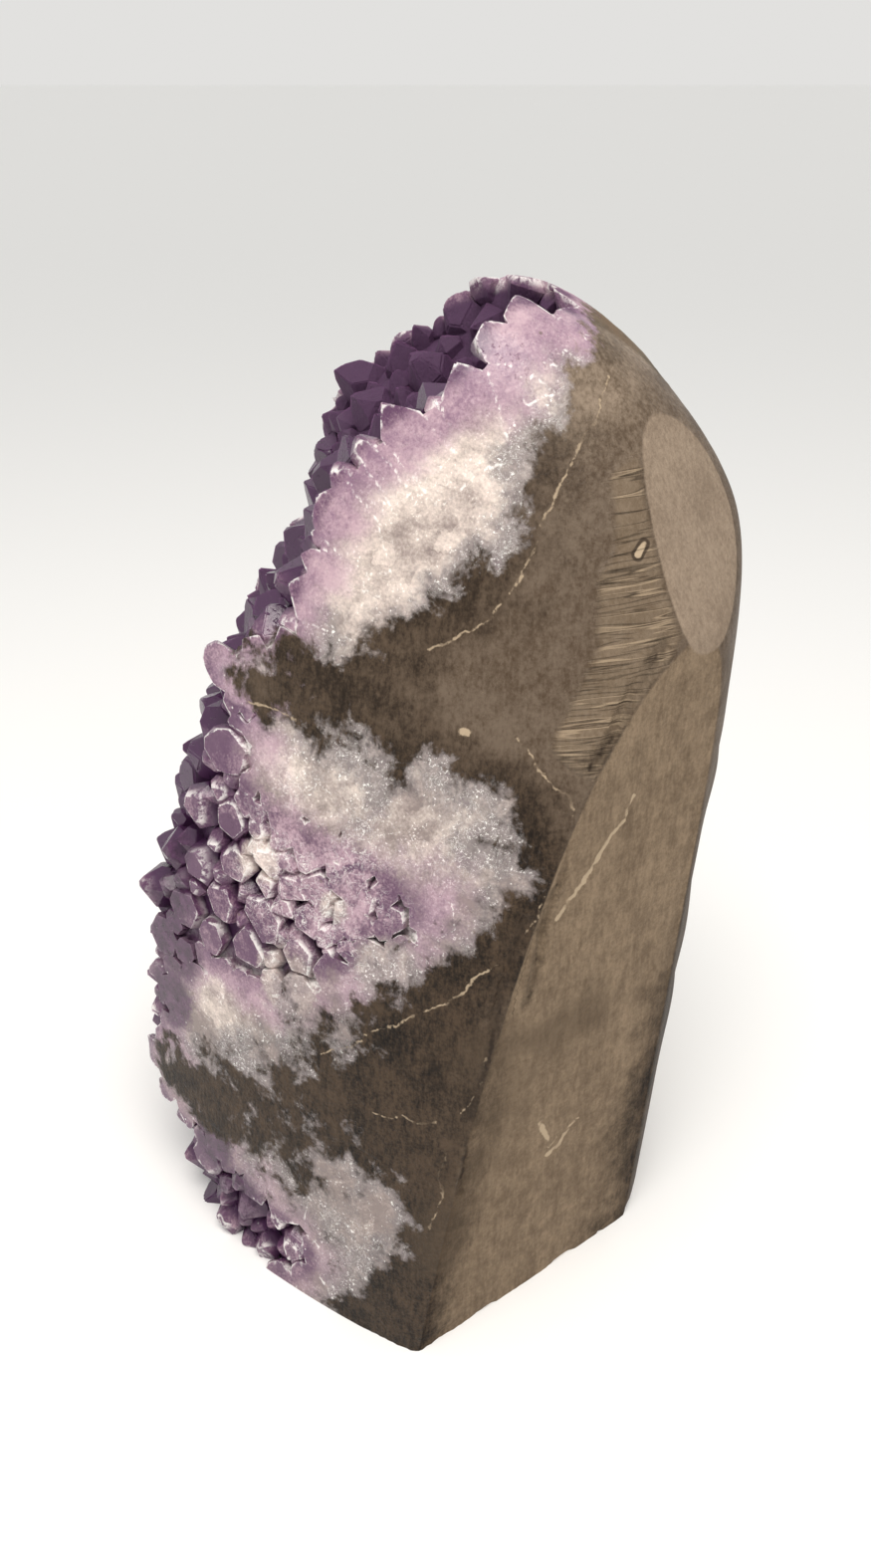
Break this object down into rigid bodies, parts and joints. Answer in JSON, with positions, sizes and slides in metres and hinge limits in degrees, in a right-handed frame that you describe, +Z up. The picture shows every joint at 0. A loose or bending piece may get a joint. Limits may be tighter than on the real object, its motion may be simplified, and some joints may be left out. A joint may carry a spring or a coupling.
{
  "type": "cut base amethyst cluster",
  "caption": "Upright wedge cut from a geode wall, with polished sides, a sawn base to stand on and a front face lined with amethyst crystals over milky quartz and basalt.",
  "frame": {"origin": "centre of the bounding box's bottom face, in the plane of the sawn base", "axes": "+Z up as the cluster stands; the crystal face looks towards -Y; +X is the polished side"},
  "size_m": [0.1311, 0.1234, 0.1971],
  "materials": {
    "basalt_rock": "ground and part polished grey-brown basalt, matte on the flats and glossy near the quartz",
    "amethyst_quartz": "polished milky quartz passing to violet crystal points"
  },
  "bodies": {
    "root": {"basalt_matrix": "basalt_rock", "amethyst_crust": "amethyst_quartz"}
  },
  "joints": []
}
